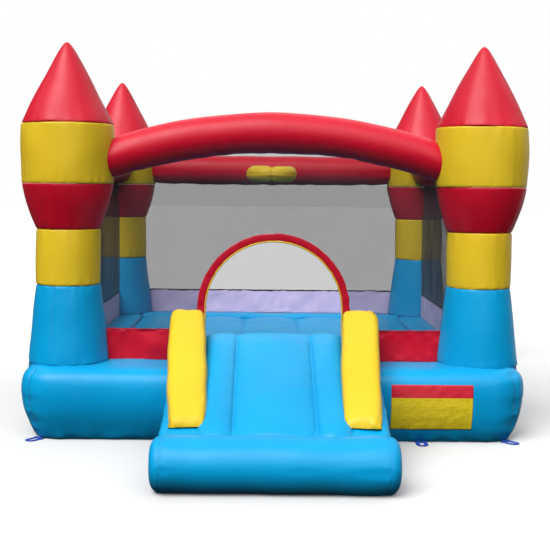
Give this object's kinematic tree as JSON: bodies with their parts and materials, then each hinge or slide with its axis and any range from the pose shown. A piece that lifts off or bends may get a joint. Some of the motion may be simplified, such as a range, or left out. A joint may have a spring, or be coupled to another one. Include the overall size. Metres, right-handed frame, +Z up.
{
  "type": "inflatable bounce house",
  "caption": "Inflatable bounce house: blue base and floor, corner towers with cone tops, net walls between beams, an arched door, a hoop and a front slide with bumpers.",
  "frame": {"origin": "on the ground under the middle of the four towers", "axes": "+X to the right seen from the slide, +Y from the slide to the back, +Z up"},
  "size_m": [2.744, 3.9605, 2.115],
  "materials": {
    "blue_fabric": "satin",
    "yellow_fabric": "satin",
    "red_fabric": "satin",
    "lavender_fabric": "satin",
    "black_net": "open mesh",
    "red_binding": "satin",
    "yellow_piping": "satin",
    "label": "printed",
    "blue_webbing": "woven",
    "baffle_fabric": "matte",
    "ground_fabric": "matte"
  },
  "bodies": {
    "house": {"column_front_left": "blue_fabric", "neck_front_left": "yellow_fabric", "taper_front_left": "red_fabric", "drum_front_left": "yellow_fabric", "cone_front_left": "red_fabric", "column_front_right": "blue_fabric", "neck_front_right": "yellow_fabric", "taper_front_right": "red_fabric", "drum_front_right": "yellow_fabric", "cone_front_right": "red_fabric", "column_rear_left": "blue_fabric", "neck_rear_left": "yellow_fabric", "taper_rear_left": "red_fabric", "drum_rear_left": "yellow_fabric", "cone_rear_left": "red_fabric", "column_rear_right": "blue_fabric", "neck_rear_right": "yellow_fabric", "taper_rear_right": "red_fabric", "drum_rear_right": "yellow_fabric", "cone_rear_right": "red_fabric", "front_arch": "red_fabric", "rear_beam": "red_fabric", "left_beam": "red_fabric", "right_beam": "red_fabric", "base_front": "blue_fabric", "base_rear": "blue_fabric", "base_left": "blue_fabric", "base_right": "blue_fabric", "bounce_floor": "blue_fabric", "floor_baffles": "baffle_fabric", "ground_sheet": "ground_fabric", "slide_ramp": "blue_fabric", "slide_baffles": "baffle_fabric", "slide_bolster": "blue_fabric", "bumper_left": "yellow_fabric", "bumper_right": "yellow_fabric", "band_front_left": "red_fabric", "band_front_right": "red_fabric", "band_left": "lavender_fabric", "band_right": "lavender_fabric", "band_rear": "lavender_fabric", "net_front": "black_net", "net_left": "black_net", "net_right": "black_net", "net_rear": "black_net", "door_binding": "red_binding", "door_piping": "yellow_piping", "label_patch": "label", "blower_sleeve": "blue_fabric", "sleeve_strap": "blue_webbing"},
    "hoop": {"hoop": "yellow_fabric", "hoop_tab": "yellow_fabric"},
    "loop_front_left": {"loop_front_left": "blue_webbing"},
    "loop_front_middle": {"loop_front_middle": "blue_webbing"},
    "loop_front_right": {"loop_front_right": "blue_webbing"},
    "loop_rear_left": {"loop_rear_left": "blue_webbing"},
    "loop_rear_right": {"loop_rear_right": "blue_webbing"}
  },
  "joints": [
    {"name": "hoop_flex", "type": "hinge", "parent": "house", "child": "hoop", "pos_m": [0, 0.9685, 1.46], "axis": [1, 0, 0], "range_deg": [-20, 25], "stiffness_Nm_per_rad": 20},
    {"name": "loop_front_left_lift", "type": "hinge", "parent": "house", "child": "loop_front_left", "pos_m": [-1.24339, -1.28438, 0.0021], "axis": [-0.766, 0.6428, 0], "range_deg": [0, 45]},
    {"name": "loop_front_middle_lift", "type": "hinge", "parent": "house", "child": "loop_front_middle", "pos_m": [0.79, -1.31474, 0.0021], "axis": [-1, 0, 0], "range_deg": [0, 45]},
    {"name": "loop_front_right_lift", "type": "hinge", "parent": "house", "child": "loop_front_right", "pos_m": [1.24339, -1.28438, 0.0021], "axis": [-0.766, -0.6428, 0], "range_deg": [0, 45]},
    {"name": "loop_rear_left_lift", "type": "hinge", "parent": "house", "child": "loop_rear_left", "pos_m": [-1.24339, 1.22438, 0.0021], "axis": [0.766, 0.6428, 0], "range_deg": [0, 45]},
    {"name": "loop_rear_right_lift", "type": "hinge", "parent": "house", "child": "loop_rear_right", "pos_m": [1.24339, 1.22438, 0.0021], "axis": [0.766, -0.6428, 0], "range_deg": [0, 45]}
  ]
}
